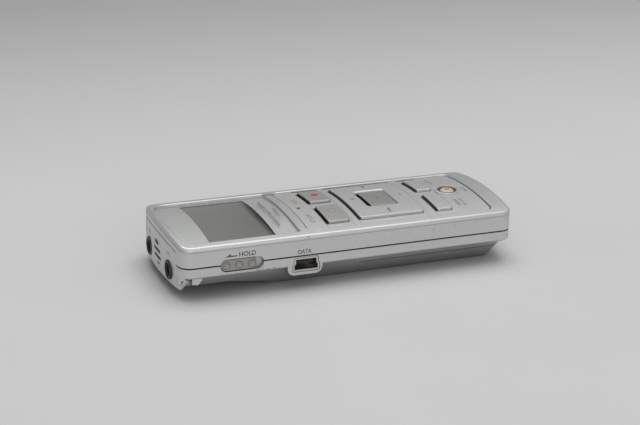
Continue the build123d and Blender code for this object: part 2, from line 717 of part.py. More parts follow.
def dome_film():
    """Film laid over the snap domes."""
    z0 = Z_MAIN_BOARD + BOARD_T + DOME_H
    x0, x1, _ = PANEL
    film = prism(rect(x0 + 1, x1 - 2, -15, 15, 1), z0, z0 + FILM_T)
    film -= rod(LAMP[0], LAMP[1], LAMP[2] + 0.3, Z_SEAM, TALL)
    for _, x, y in screw_places():
        film -= rod(x, y, BOSS_POST_R + 0.2, Z_SEAM, TALL)
    return film


# ---- boards ----
def main_board():
    x0, x1, half_w = MAIN_BOARD
    board = prism(rect(x0, x1, -half_w, half_w, 1.5), Z_MAIN_BOARD, Z_MAIN_BOARD + BOARD_T)
    for _, x, y in screw_places():
        board -= rod(x, y, BOSS_POST_R + 0.15, Z_SEAM, TALL)
    return board


def signal_board():
    x0, x1, half_w = SIGNAL_BOARD
    board = prism(rect(x0, x1, -half_w, half_w, 1.0), Z_SIGNAL_BOARD, Z_SIGNAL_BOARD + BOARD_T)
    for side in (-1, 1):
        board -= rod(FRONT_SCREW[0], side * FRONT_SCREW[1], BOSS_POST_R + 0.7, Z_SEAM - 2, TALL)
    return board


def signal_chips():
    """Chips and small parts on the signal board."""
    top = Z_SIGNAL_BOARD + BOARD_T
    sizes = [(-29.0, 2.0, 9.0, 9.0, 1.0), (-19.5, 4.5, 7.0, 10.0, 1.0), (-38.0, 5.0, 5.0, 5.0, 0.9)]
    chips = [block(x - a / 2, x + a / 2, y - b / 2, y + b / 2, top, top + h) for x, y, a, b, h in sizes]
    for i in range(6):
        x = -41.0 + 3.4 * i
        chips.append(block(x, x + 1.6, -7.4, -6.6, top, top + 0.6))
    return Compound(children=chips)


def board_connector():
    """Pin header between the two boards."""
    return block(-14.2, -11.2, -5, 5, Z_SIGNAL_BOARD + BOARD_T, Z_MAIN_BOARD)


# ---- data socket ----
def socket_bar(grow, y0, y1):
    """Bar with the stepped section of the data socket, grown on every side."""
    half_w = SOCKET_W / 2
    z0, z1 = SOCKET_Z
    inset, step_low, step_high = SOCKET_NECK
    neck = half_w - inset
    right = [(half_w, z0), (half_w, z0 + step_low), (neck, z0 + step_high), (neck, z1)]
    left = [(-x, z) for x, z in reversed(right)]
    face = make_face(Polyline(right + left, close=True))
    if grow:
        face = offset(face, amount=grow)
    return Pos(SOCKET_X, y1, 0) * Rot(90, 0, 0) * extrude(face, amount=y1 - y0)


def data_socket_shell():
    front = -WIDTH / 2 + 0.1
    back = -WIDTH / 2 + SOCKET_DEPTH
    return socket_bar(SOCKET_SHELL_T, front, back) - socket_bar(0, front - 1, back - SOCKET_SHELL_T)


def data_socket_tongue():
    half_w, z0, z1 = TONGUE
    y0 = -WIDTH / 2 + 1.0
    y1 = -WIDTH / 2 + SOCKET_DEPTH - SOCKET_SHELL_T
    return block(SOCKET_X - half_w, SOCKET_X + half_w, y0, y1, z0, z1)


def data_socket_pins():
    """Five contacts lying on the tongue."""
    width, thick, pitch = PIN
    top = TONGUE[2]
    y0 = -WIDTH / 2 + 1.3
    y1 = -WIDTH / 2 + SOCKET_DEPTH - SOCKET_SHELL_T
    pins = []
    for i in range(-2, 3):
        x = SOCKET_X + i * pitch
        pins.append(block(x - width / 2, x + width / 2, y0, y1, top, top + thick))
    return Compound(children=pins)


# ---- hold switch ----
def hold_slider():
    """Side knob with three finger dimples and a lug to the switch inside."""
    x0 = HOLD_SLOT[0] + KNOB_GAP
    y0 = -WIDTH / 2 + KNOB_INSET
    y1 = -WIDTH / 2 + WALL - 0.05
    knob = stadium(x0, x0 + KNOB_LEN, HOLD_Z, KNOB_H, y0, y1)
    rim = knob.faces().sort_by(Axis.Y)[0].edges()
    knob = fillet(rim, 0.25)
    mid = x0 + KNOB_LEN / 2
    step, dimple_r, depth = DIMPLE
    ball_r = (dimple_r ** 2 + depth ** 2) / (2 * depth)
    for i in (-1, 0, 1):
        knob -= Pos(mid + i * step, y0 + depth - ball_r, HOLD_Z) * Sphere(ball_r)
    return knob + block(mid - 1, mid + 1, y1 - 0.3, -15.2, 10.3, 11.0)


def hold_guide():
    """Plate behind the side wall that backs the slot."""
    x0, x1, _ = HOLD_SLOT
    y0 = -WIDTH / 2 + WALL + 0.02
    plate = block(x0 - 1.5, x1 + 1.5, y0, y0 + 0.6, 7.0, 12.1)
    mid = x0 + KNOB_GAP + KNOB_LEN / 2
    return plate - block(mid - 1.2, mid + 3.4, y0 - 1, y0 + 2, 10.15, 11.15)


def hold_switch():
    """Slide switch on the signal board that the knob's lug drives."""
    x0 = HOLD_SLOT[0] + KNOB_GAP + KNOB_LEN / 2
    top = Z_SIGNAL_BOARD + BOARD_T
    body = block(x0 - 3.5, x0 + 5.6, -15.85, -12.6, top, top + 2.0)
    return body - block(x0 - 1.2, x0 + 3.4, -16, -15.0, top + 0.3, top + 1.5)


# ---- speaker ----
def speaker_holes():
    """Places of the sound holes in the belly, in rings."""
    x, y, _ = SPEAKER
    places = [(x, y)]
    for ring in (1, 2):
        count = 6 * ring
        for i in range(count):
            angle = 2 * math.pi * i / count
            reach = SPEAKER_RING * ring
            places.append((x + reach * math.cos(angle), y + reach * math.sin(angle)))
    return places


def speaker_gasket():
    x, y, r = SPEAKER
    z0 = Z_FRONT_BELLY + BELLY_WALL
    return rod(x, y, r - 0.4, z0, z0 + 0.5) - rod(x, y, r - 1.4, z0 - 1, z0 + 1)


def speaker_frame():
    x, y, r = SPEAKER
    z0 = Z_FRONT_BELLY + BELLY_WALL + 0.5
    frame = rod(x, y, r, z0, z0 + 1.8)
    frame = fillet(frame.edges().filter_by(GeomType.CIRCLE).sort_by(Axis.Z)[-1], 0.5)
    return frame - rod(x, y, r - 0.8, z0 - 1, z0 + 1.2)


def speaker_cone():
    x, y, r = SPEAKER
    z0 = Z_FRONT_BELLY + BELLY_WALL + 0.6
    cone = Pos(x, y, z0 + 0.45) * Cone(r - 0.85, 1.6, 0.9)
    return cone - Pos(x, y, z0 + 0.25) * Cone(r - 1.05, 1.4, 0.9)


def speaker_magnet():
    x, y, _ = SPEAKER
    z0 = Z_FRONT_BELLY + BELLY_WALL + 2.3
    return fillet(rod(x, y, 3.6, z0, z0 + 1.4).edges().filter_by(GeomType.CIRCLE), 0.3)


# ---- battery bay ----
def battery_tray():
    x0, x1, half_w, ceiling = BAY
    z0 = Z_DOOR + LEDGE_T
    box = block(x0 - BAY_WALL, x1 + BAY_WALL, -half_w - BAY_WALL, half_w + BAY_WALL, z0, ceiling + BAY_CEILING_T)
    box -= block(x0, x1, -half_w, half_w, z0 - 1, ceiling)
    return box


def battery_cell(side):
    """AAA cell; the two lie head to tail."""
    x0, x1 = CELL_X0, CELL_X0 + CELL_LEN
    y = side * CELL_Y
    nub_r, nub_len = NUB
    if side > 0:
        can = rod_x(x0, x1 - nub_len, y, CELL_Z, CELL_R)
        nub = rod_x(x1 - nub_len, x1, y, CELL_Z, nub_r)
    else:
        can = rod_x(x0 + nub_len, x1, y, CELL_Z, CELL_R)
        nub = rod_x(x0, x0 + nub_len, y, CELL_Z, nub_r)
    can = fillet(can.edges().filter_by(GeomType.CIRCLE), 0.4)
    return can + nub


def battery_spring():
    """Coil that presses the flat end of one cell."""
    length = CELL_X0 - BAY[0] - 0.4
    helix = Helix(pitch=length / 3.5, height=length - 0.4, radius=1.6)
    wire = sweep(Plane(helix @ 0, z_dir=helix % 0) * Circle(0.2), path=helix)
    return Pos(BAY[0] + 0.55, CELL_Y, CELL_Z) * Rot(0, 90, 0) * wire


def battery_contacts():
    """Spring plate, nub contact and the bridge at the far end."""
    x0, x1, _, _ = BAY
    plates = [block(x0, x0 + 0.3, side * CELL_Y - 3, side * CELL_Y + 3, 5.3, 9.5) for side in (-1, 1)]
    strip = block(x0 + 0.3, CELL_X0 - 0.25, -CELL_Y - 1, -CELL_Y + 1, 8.0, 8.25)
    leg = block(CELL_X0 - 0.25, CELL_X0, -CELL_Y - 1, -CELL_Y + 1, 6.0, 8.25)
    plates[0] = plates[0] + strip + leg
    plates.append(block(x1 - 0.35, x1, -CELL_Y - 3.5, CELL_Y + 3.5, 5.3, 9.5))
    return Compound(children=plates)


def battery_door():
    """Door over the battery hump; it slides off past the foot."""
    left = HUMP_FOOT_X
    outer = belly_part(0.0, 0.0, left, left - Z_BAND * HUMP_RAMP)
    inner = belly_part(DOOR_T, 0.0, left, left - Z_BAND * HUMP_RAMP)
    door = (outer - inner) & door_zone(-DOOR_GAP)
    arrow = [Line((28, 4), (34, 0)), Line((34, 0), (28, -4)), Line((28, -4), (28, 4))]
    return door - prism(make_face(Wire(arrow)), -1, 0.25)


# ---- fastenings ----
def case_screws():
    """Four identical screws, from below."""
    screws = []
    head_r, head_h = SCREW_HEAD
    for kind, x, y in screw_places():
        seat = SCREW_SEAT[kind]
        head = rod(x, y, head_r, seat - head_h, seat)
        head -= block(x - 1.0, x + 1.0, y - 0.2, y + 0.2, seat - head_h - 1, seat - head_h + 0.4)
        head -= block(x - 0.2, x + 0.2, y - 1.0, y + 1.0, seat - head_h - 1, seat - head_h + 0.4)
        screws.append(head + rod(x, y, SCREW_R, seat - 0.1, SCREW_TIP_Z))
    return Compound(children=screws)


def main():
    os.makedirs("parts", exist_ok=True)
    pieces = [
        front_case, rear_case, jack_end_cap, mic_grille, mic_capsule, mic_boot, jack_contacts, strap_bar,
        display_lens, lens_mask, lcd_panel, lcd_frame, lcd_flex, keypad_panel, nav_plate, nav_carrier,
        centre_key, round_key, round_key_ring, lamp_pipe, dome_switches, dome_film, main_board,
        signal_board, signal_chips, board_connector, data_socket_shell, data_socket_tongue, data_socket_pins,
        hold_slider, hold_guide, hold_switch, speaker_gasket, speaker_frame, speaker_cone, speaker_magnet,
        battery_tray, battery_spring, battery_contacts, battery_door, case_screws,
    ]
    for piece in pieces:
        save(piece.__name__, piece())
    for name in KEYS:
        save(name, key(name))
    save("mic_jack", jack(-1))
    save("ear_jack", jack(1))
    save("battery_cell_1", battery_cell(1))
    save("battery_cell_2", battery_cell(-1))


main()
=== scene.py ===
"""Looks of the handheld voice recorder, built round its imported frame.

Places on the recorder are in millimetres and turn into metres with MM. The stage, the
lights and the camera are in metres.
"""
import json
import math

import bmesh
import bpy
from mathutils import Matrix, Vector


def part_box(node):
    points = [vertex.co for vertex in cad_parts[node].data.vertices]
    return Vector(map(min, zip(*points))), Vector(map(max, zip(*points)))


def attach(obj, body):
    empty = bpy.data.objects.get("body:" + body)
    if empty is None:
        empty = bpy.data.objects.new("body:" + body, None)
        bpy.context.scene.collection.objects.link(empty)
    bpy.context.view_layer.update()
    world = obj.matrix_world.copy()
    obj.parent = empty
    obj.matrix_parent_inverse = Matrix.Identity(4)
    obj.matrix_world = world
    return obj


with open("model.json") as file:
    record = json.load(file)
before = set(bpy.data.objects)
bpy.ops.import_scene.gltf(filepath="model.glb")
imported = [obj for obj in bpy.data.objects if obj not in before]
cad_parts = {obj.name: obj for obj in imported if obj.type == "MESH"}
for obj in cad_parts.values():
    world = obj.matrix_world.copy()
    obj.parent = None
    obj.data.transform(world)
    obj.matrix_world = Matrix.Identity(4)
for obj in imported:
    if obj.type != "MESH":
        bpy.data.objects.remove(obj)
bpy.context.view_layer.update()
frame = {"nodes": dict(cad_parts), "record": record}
NODES = frame["nodes"]
SCENE = bpy.context.scene
MM = 0.001
X, Y, Z = range(3)

# ---- driving sizes, in millimetres, that the prints and marks share with the frame ----
SHIFT_X = 0.2                                  # the case layout stands this far along X
CROWN_R = 100.0                                # radius of the face across the body
CROWN_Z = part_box("display_lens")[1].z / MM     # crown of the lens and keypad panel
SIDE_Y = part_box("front_case")[0].y / MM        # long side with the data socket
HALF_W = -SIDE_Y
JACK_TIP_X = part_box("front_case")[0].x / MM
JACK_BOW = 1.7                                 # the jack end falls back this far at its corners
KEY_LIFT = 0.5                                 # tops of the keys, above the crown
NAV_LIFT = 0.55
CENTRE_LIFT = 0.3
KNOB_Z = 9.45                                  # middle of the hold knob
KNOB_STEP = 3.7                                # from one dimple of the knob to the next
INK_PROUD = 0.012                              # an ink skin stands this far out
INK_DEPTH = 0.05                               # and reaches this far into what it lies on


# ---- node materials ----
NOISE_SPAN = (0.3, 0.7)                        # holds nearly all values of a noise texture
SILVER = (0.60, 0.60, 0.60)
SILVER_ROUGHNESS = 0.42
STEEL = (0.6, 0.6, 0.58)
# painted shade for key sides that face along X, standing in for the dark gaps beside the keys
BLACK_WALL_SHADE = (0.015, 0.015, 0.015)
GREY_WALL_SHADE = (0.08, 0.08, 0.078)
NO_WALL_SHADE_END = 100.0                            # beyond the foot, so the painted wall shade covers the whole node


def shade(c, k):
    """Colour c made k times as bright."""
    return tuple(min(1.0, v * k) for v in c)


class Paint:
    """A Principled material, with short ways to add texture nodes measured in millimetres."""

    def __init__(self, name, color, metallic=0.0, roughness=0.5):
        self.mat = bpy.data.materials.new(name)
        self.mat.use_nodes = True
        self.tree = self.mat.node_tree
        self.bsdf = self.tree.nodes["Principled BSDF"]
        self.bsdf.inputs["Base Color"].default_value = (*color, 1)
        self.bsdf.inputs["Metallic"].default_value = metallic
        self.bsdf.inputs["Roughness"].default_value = roughness
        coords = self.add("ShaderNodeTexCoord")
        self.mm = self.scaled(coords.outputs["Object"], 1 / MM)

    def add(self, kind, **settings):
        node = self.tree.nodes.new(kind)
        for key, value in settings.items():
            setattr(node, key, value)
        return node

    def link(self, source, target):
        self.tree.links.new(source, target)

    def put(self, value, socket):
        """Sets a socket to a number or colour, or links it to another node's output."""
        if isinstance(value, (int, float, tuple)):
            socket.default_value = value
        else:
            self.link(value, socket)

    def scaled(self, value, factor):
        """A colour or vector made factor times as large."""
        node = self.add("ShaderNodeVectorMath", operation="SCALE")
        self.put(value, node.inputs[0])
        self.put(factor, node.inputs["Scale"])
        return node.outputs[0]

    def split(self, vector):
        """The X, Y and Z outputs of a vector."""
        node = self.add("ShaderNodeSeparateXYZ")
        self.link(vector, node.inputs[0])
        return node.outputs

    def place(self, axis):
        """One coordinate of the shaded point."""
        return self.split(self.mm)[axis]

    def facing(self, axis):
        """One coordinate of the surface's normal."""
        return self.split(self.add("ShaderNodeNewGeometry").outputs["Normal"])[axis]

    def noise(self, size, detail=3.0, rough=0.55):
        """Noise whose blotches are about size millimetres across."""
        node = self.add("ShaderNodeTexNoise")
        self.link(self.mm, node.inputs["Vector"])
        node.inputs["Scale"].default_value = 1 / size
        node.inputs["Detail"].default_value = detail
        node.inputs["Roughness"].default_value = rough
        return node.outputs["Fac"]

    def flakes(self, size):
        """Cells about size millimetres across, each with a random colour."""
        node = self.add("ShaderNodeTexVoronoi", feature="F1")
        self.link(self.mm, node.inputs["Vector"])
        node.inputs["Scale"].default_value = 1 / size
        return node.outputs["Color"]

    def ramp(self, fac, low, high, out_low=0.0, out_high=1.0):
        """Maps fac from low..high to out_low..out_high, clamped and smooth."""
        node = self.add("ShaderNodeMapRange", interpolation_type="SMOOTHSTEP")
        self.link(fac, node.inputs["Value"])
        values = (low, high, out_low, out_high)
        for key, value in zip(("From Min", "From Max", "To Min", "To Max"), values):
            node.inputs[key].default_value = value
        return node.outputs["Result"]

    def math(self, operation, a, b=0.0):
        node = self.add("ShaderNodeMath", operation=operation)
        self.put(a, node.inputs[0])
        self.put(b, node.inputs[1])
        return node.outputs[0]

    def mix(self, fac, a, b):
        """Colour that goes from a to b."""
        node = self.add("ShaderNodeMix", data_type="RGBA")
        self.put(fac, node.inputs["Factor"])
        self.put((*a, 1) if isinstance(a, tuple) else a, node.inputs["A"])
        self.put((*b, 1) if isinstance(b, tuple) else b, node.inputs["B"])
        return node.outputs["Result"]

    def mix_shaders(self, fac, a, b):
        """Shader that goes from a to b."""
        node = self.add("ShaderNodeMixShader")
        for source, socket in zip((fac, a, b), node.inputs):
            self.link(source, socket)
        return node.outputs[0]

    def set_color(self, output):
        self.link(output, self.bsdf.inputs["Base Color"])

    def set_metallic(self, output):
        self.link(output, self.bsdf.inputs["Metallic"])

    def set_roughness(self, pattern, low, high, span=NOISE_SPAN):
        """Roughness that goes from low to high as the pattern goes through span."""
        self.link(self.ramp(pattern, *span, low, high), self.bsdf.inputs["Roughness"])

    def crevice_shade(self, color, reach, darkest=0.38):
        """Darkens a colour where other surfaces lie within reach millimetres: painted shade in
        gaps and creases.
        """
        node = self.add("ShaderNodeAmbientOcclusion", samples=8)
        node.inputs["Distance"].default_value = reach * MM
        closed, clear = 0.15, 0.75
        return self.scaled(color, self.ramp(node.outputs["AO"], closed, clear, darkest, 1.0))

    def bump(self, height, depth, strength):
        """Bump whose full height is depth millimetres."""
        node = self.add("ShaderNodeBump")
        node.inputs["Strength"].default_value = strength
        node.inputs["Distance"].default_value = depth * MM
        self.link(height, node.inputs["Height"])
        self.link(node.outputs["Normal"], self.bsdf.inputs["Normal"])


def silver_paint(
    name, color, roughness, metallic, grime_and_shade=0.0, gap_shade_reach=0.6, wall_shade=None, wall_shade_to=NO_WALL_SHADE_END
):
    """Silver lacquer: fine flakes, faint clouding, rubbed-in dirt and painted shade.

    The grime and shade strength sets its dark dirt specks and turns on painted shade on faces
    turned down and in wide creases, and the gap reach is how far painted shade in narrow gaps
    reaches. Sides that face along X get the given wall colour, painted shade that stands in for
    the dark gaps beside keys, up to the given place along the body.
    """
    flake_size, speck_size, patch_size = 0.11, 0.5, 9.0
    cloud_size, rub_size, grain_size = 7.0, 2.2, 0.16
    dirt_color = (0.16, 0.155, 0.15)
    underside_darkest, wide_shade_reach, wide_shade_darkest = 0.88, 10.0, 0.5
    p = Paint(name, color, metallic, roughness)
    sparkle = p.ramp(p.flakes(flake_size), 0.0, 1.0, 0.87, 1.1)
    cloud = p.ramp(p.noise(cloud_size), *NOISE_SPAN, 0.985, 1.01)
    tone = p.scaled(color, p.math("MULTIPLY", sparkle, cloud))
    if grime_and_shade:
        specks = p.ramp(p.noise(speck_size, 4.0, 0.7), 0.66, 0.72)
        patches = p.ramp(p.noise(patch_size, 2.0), 0.48, 0.66)
        dirt = p.math("MULTIPLY", p.math("MULTIPLY", specks, patches), grime_and_shade)
        tone = p.mix(dirt, tone, dirt_color)
    # painted shade in narrow gaps
    if gap_shade_reach:
        tone = p.crevice_shade(tone, gap_shade_reach)
    # painted shade: faces turned down are darker, and so are wide creases
    if grime_and_shade:
        underside_shade = p.ramp(p.facing(Z), -0.5, 0.0, underside_darkest, 1.0)
        tone = p.crevice_shade(p.scaled(tone, underside_shade), wide_shade_reach, wide_shade_darkest)
    # painted shade on sides that face along X
    if wall_shade:
        unshaded_side = p.ramp(p.math("ABSOLUTE", p.facing(X)), 0.5, 0.85, 1.0, 0.0)
        past_wall_shade = p.ramp(p.place(X), wall_shade_to, wall_shade_to + 0.5)
        lit = p.math("MAXIMUM", unshaded_side, past_wall_shade)
        tone = p.mix(lit, wall_shade, tone)
        p.set_metallic(p.ramp(lit, 0.0, 1.0, 0.0, metallic))
    p.set_color(tone)
    p.set_roughness(p.noise(rub_size, 4.0), roughness - 0.02, roughness + 0.02)
    p.bump(p.noise(grain_size, 2.0), depth=0.003, strength=0.25)
    return p


def plastic(name, color, roughness=0.45):
    """Moulded plastic, rubber, film or ink with a fine grain and slight clouding."""
    cloud_size, rub_size, grain_size = 3.0, 1.4, 0.25
    p = Paint(name, color, 0.0, roughness)
    p.set_color(p.mix(p.noise(cloud_size), shade(color, 0.9), shade(color, 1.08)))
    p.set_roughness(p.noise(rub_size, 4.0), roughness - 0.05, roughness + 0.08)
    p.bump(p.noise(grain_size), depth=0.01, strength=0.5)
    return p


def metal(name, color, roughness):
    """Plated or drawn metal with a fine grain."""
    cloud_size, grain_size = 1.5, 0.12
    p = Paint(name, color, 1.0, roughness)
    grain = p.noise(grain_size)
    p.set_color(p.mix(p.noise(cloud_size), shade(color, 0.88), shade(color, 1.06)))
    p.set_roughness(grain, roughness - 0.07, roughness + 0.12)
    p.bump(grain, depth=0.004, strength=0.5)
    return p


def display_glass():
    """Display that is switched off: an even grey that darkens towards its keypad end, with a
    painted shadow of the bezel along that end.
    """
    p = Paint("lcd_glass", (0.22, 0.22, 0.215), 0.0, 0.3)
    near_jacks, near_keys, edge = (0.27, 0.27, 0.26), (0.23, 0.23, 0.225), (0.17, 0.17, 0.165)
    # the edge colour is a painted shadow of the bezel
    shadow_start, shadow_full = 2.0, 1.4
    low, high = (corner.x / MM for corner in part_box("lcd_panel"))
    grey = p.mix(p.ramp(p.place(X), low, high), near_jacks, near_keys)
    p.set_color(p.mix(p.ramp(p.place(X), high - shadow_start, high - shadow_full), grey, edge))
    return p


def clear_lens():
    """Clear hard-coated window with silver sides, which shows what is behind it."""
    p = Paint("clear_lens", (0.95, 0.955, 0.95), 1.0, 0.06)
    p.set_roughness(p.noise(3.0, 4.0), 0.05, 0.09, span=(0.4, 0.7))
    clear = p.add("ShaderNodeBsdfTransparent")
    clear.inputs["Color"].default_value = (0.97, 0.975, 0.97, 1)
    fresnel = p.add("ShaderNodeFresnel")
    fresnel.inputs["IOR"].default_value = 1.45
    outside = p.math("SUBTRACT", 1.0, p.add("ShaderNodeNewGeometry").outputs["Backfacing"])
    gloss = p.math("MULTIPLY", fresnel.outputs[0], outside)
    window = p.mix_shaders(gloss, clear.outputs[0], p.bsdf.outputs[0])
    sides = p.add("ShaderNodeBsdfPrincipled")
    sides.inputs["Base Color"].default_value = (*SILVER, 1)
    sides.inputs["Metallic"].default_value = 0.5
    sides.inputs["Roughness"].default_value = 0.45
    level = p.ramp(p.math("ABSOLUTE", p.facing(Z)), 0.3, 0.5)
    whole = p.mix_shaders(level, sides.outputs[0], window)
    p.link(whole, p.tree.nodes["Material Output"].inputs["Surface"])
    return p


def cell_jacket():
    """Battery: dark sleeve with a coloured band at the nub end, bare steel at both ends.

    The cells lie on either side of Y = 0, with their nubs at opposite ends.
    """
    p = Paint("cell_jacket", (0.05, 0.06, 0.08), 0.3, 0.3)
    nub, lap, band_end, edge = 1.0, 0.8, 13.0, 0.05
    x0, x1 = (corner.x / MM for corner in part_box("battery_cell_1"))
    length = x1 - x0
    x = p.place(X)
    first = p.ramp(p.place(Y), -0.1, 0.1)
    second = p.math("SUBTRACT", 1.0, first)
    from_nub = p.math(
        "ADD",
        p.math("MULTIPLY", p.math("SUBTRACT", x1, x), first),
        p.math("MULTIPLY", p.math("SUBTRACT", x, x0), second),
    )
    past_band = p.ramp(from_nub, band_end, band_end + 2 * edge)
    sleeve = p.mix(past_band, (0.42, 0.17, 0.05), (0.03, 0.032, 0.036))
    past_nub = p.ramp(from_nub, nub + lap, nub + lap + edge)
    far_end = p.ramp(from_nub, length - lap, length - lap + edge)
    bare = p.math("MAXIMUM", p.math("SUBTRACT", 1.0, past_nub), far_end)
    p.set_color(p.mix(bare, sleeve, STEEL))
    p.set_metallic(p.ramp(bare, 0.0, 1.0, 0.35, 1.0))
    p.set_roughness(p.noise(1.5), 0.24, 0.36)
    return p


def key_paint(name, color, wall_shade, wall_shade_to=NO_WALL_SHADE_END):
    """Silver lacquer of a key, with painted shade on its sides that face along X."""
    return silver_paint(name, color, SILVER_ROUGHNESS, 0.5, wall_shade=wall_shade, wall_shade_to=wall_shade_to)


PAINTS = {
    "silver_case": silver_paint("silver_case", SILVER, SILVER_ROUGHNESS, 0.6, grime_and_shade=0.7),
    "silver_panel": silver_paint("silver_panel", shade(SILVER, 0.96), 0.45, 0.5, gap_shade_reach=0.4),
    "silver_key": key_paint("silver_key", shade(SILVER, 0.98), GREY_WALL_SHADE),
    "grey_key": key_paint("grey_key", (0.46, 0.45, 0.435), BLACK_WALL_SHADE),
    "dark_key": key_paint("dark_key", (0.38, 0.375, 0.365), BLACK_WALL_SHADE),
    "knob_grey": silver_paint("knob_grey", (0.32, 0.305, 0.29), 0.5, 0.4),
    "strap_metal": silver_paint("strap_metal", SILVER, SILVER_ROUGHNESS, 0.6),
    "silver_print": silver_paint("silver_print", shade(SILVER, 1.1), 0.5, 0.5, gap_shade_reach=0.0),
    "white_key": plastic("white_key", (0.56, 0.52, 0.44)),
    "lcd_glass": display_glass(),
    "white_plastic": plastic("white_plastic", (0.75, 0.75, 0.73)),
    "flex_film": plastic("flex_film", (0.5, 0.28, 0.08), 0.3),
    "smoked_lamp": plastic("smoked_lamp", (0.1, 0.09, 0.085), 0.25),
    "green_board": plastic("green_board", (0.015, 0.12, 0.05), 0.3),
    "chip_black": plastic("chip_black", (0.02, 0.02, 0.022), 0.5),
    "black_plastic": plastic("black_plastic", (0.012, 0.012, 0.013), 0.32),
    "grey_rubber": plastic("grey_rubber", (0.05, 0.05, 0.052), 0.7),
    "cone_film": plastic("cone_film", (0.02, 0.02, 0.02), 0.4),
    "steel": metal("steel", (0.62, 0.61, 0.58), 0.28),
    "contact_brass": metal("contact_brass", (0.72, 0.5, 0.2), 0.28),
    "capsule_metal": metal("capsule_metal", (0.7, 0.7, 0.7), 0.3),
    "magnet_iron": metal("magnet_iron", (0.35, 0.35, 0.36), 0.35),
    "cell_jacket": cell_jacket(),
    "clear_lens": clear_lens(),
}
DARK_INK = plastic("dark_ink", (0.08, 0.08, 0.08), 0.5)
FAINT_INK = plastic("faint_ink", (0.17, 0.17, 0.17), 0.5)
RED_INK = plastic("red_ink", (0.45, 0.05, 0.04))
PALE_RED_INK = plastic("pale_red_ink", (0.48, 0.17, 0.15), 0.5)
PALE_INK = plastic("pale_ink", (0.27, 0.27, 0.265), 0.5)
ORANGE_LAMP = plastic("orange_lamp", (0.6, 0.25, 0.11), 0.35)
SCUFF = plastic("scuff", (0.17, 0.165, 0.155), 0.6)
RING_GREY = plastic("ring_grey", (0.11, 0.11, 0.11), 0.4)
# painted wall shade only on the jack-end half of the plate
NAV_SILVER = key_paint("nav_plate", shade(SILVER, 0.98), GREY_WALL_SHADE, wall_shade_to=15.0)

slot_of = {part["node"]: part["material_slot"] for part in frame["record"]["subparts"]}
for node_name, node in NODES.items():
    node.data.materials.clear()
    node.data.materials.append(PAINTS[slot_of[node_name]].mat)
NODES["round_key_ring"].data.materials[0] = RING_GREY.mat
NODES["nav_plate"].data.materials[0] = NAV_SILVER.mat


# ---- flats ----
# A flat is a list of points and a list of faces, drawn in millimetres with +a across
# and +b up. Each is then laid on a surface of the recorder as a thin skin of ink.
def word(text, height, width=None, weight=0.0):
    """A word, centred, with capitals of the given height; width stretches it to fit."""
    curve = bpy.data.curves.new(text, "FONT")
    curve.body = text
    curve.offset = weight
    curve.resolution_u = 3
    holder = bpy.data.objects.new(text, curve)
    SCENE.collection.objects.link(holder)
    graph = bpy.context.evaluated_depsgraph_get()
    mesh = bpy.data.meshes.new_from_object(holder.evaluated_get(graph))
    bpy.data.objects.remove(holder)
    xs = [v.co.x for v in mesh.vertices]
    ys = [v.co.y for v in mesh.vertices]
    mid_x, mid_y = (min(xs) + max(xs)) / 2, (min(ys) + max(ys)) / 2
    scale_y = height / (max(ys) - min(ys))
    scale_x = width / (max(xs) - min(xs)) if width else scale_y
    points = [((x - mid_x) * scale_x, (y - mid_y) * scale_y) for x, y in zip(xs, ys)]
    faces = [tuple(face.vertices) for face in mesh.polygons]
    bpy.data.meshes.remove(mesh)
    return points, faces


def polygon(*points):
    return list(points), [tuple(range(len(points)))]


def bar(a0, a1, b0, b1, step=0.8):
    """Rectangle, cut into lengths of about step so that it can follow a curved face."""
    count = max(1, round((a1 - a0) / step))
    points, faces = [], []
    for i in range(count + 1):
        a = a0 + (a1 - a0) * i / count
        points += [(a, b0), (a, b1)]
        if i:
            k = 2 * i
            faces.append((k - 2, k, k + 1, k - 1))
    return points, faces


def ring(outer, inner=0.0, squareness=0.0):
    """Round or squarish ring, or a disc if inner is 0."""
    steps = 40
    points, faces = [], []
    for i in range(steps):
        angle = 2 * math.pi * i / steps
        c, s = math.cos(angle), math.sin(angle)
        reach = 1 + squareness * (1 / max(abs(c), abs(s)) - 1)
        points += [(outer * reach * c, outer * reach * s), (inner * reach * c, inner * reach * s)]
        j = (i + 1) % steps
        if inner:
            faces.append((2 * i, 2 * j, 2 * j + 1, 2 * i + 1))
    if not inner:
        points = points[0::2] + [(0.0, 0.0)]
        faces = [(i, (i + 1) % steps, steps) for i in range(steps)]
    return points, faces


def joined(*flats):
    """Several flats as one."""
    points, faces = [], []
    for more_points, more_faces in flats:
        start = len(points)
        points += more_points
        faces += [tuple(start + i for i in face) for face in more_faces]
    return points, faces


def moved(flat, across):
    points, faces = flat
    return [(a + across, b) for a, b in points], faces


def mirrored(flat):
    """A flat turned left for right."""
    points, faces = flat
    return [(-a, b) for a, b in points], [tuple(reversed(face)) for face in faces]


# ---- surfaces that flats lie on ----
# Each gives a function that turns a flat's a and b, and a distance out of the surface,
# into a place in the frame, in millimetres.
def on_top(x, y, lift=0.0):
    """Crowned face, seen with the jack end up; x and y are the middle of the print."""
    def place(a, b, out):
        across = y + a
        z = CROWN_Z - CROWN_R + math.sqrt((CROWN_R + lift) ** 2 - across * across)
        return Vector((x + SHIFT_X - b, across, z + out))
    return place


def on_side(x, z):
    """Long side with the data socket, seen from outside."""
    def place(a, b, out):
        return Vector((x + SHIFT_X + a, SIDE_Y - out, z + b))
    return place


def on_end(y, z):
    """Jack end, seen from outside."""
    def place(a, b, out):
        across = y - a
        return Vector((JACK_TIP_X + JACK_BOW * (across / HALF_W) ** 2 - out, across, z + b))
    return place


def on_round_key():
    """Middle of the round key's top."""
    low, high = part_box("round_key")

    def place(a, b, out):
        return Vector(((low.x + high.x) / 2 / MM - b, a, high.z / MM + out))
    return place


def on_knob(x):
    """Outer face of the hold knob, with x measured from its middle."""
    low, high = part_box("hold_slider")
    x0, y0 = low.x / MM, low.y / MM
    knob_len = (high.x - low.x) / MM

    def place(a, b, out):
        return Vector((x0 + knob_len / 2 + x + a, y0 - out, KNOB_Z + b))
    return place


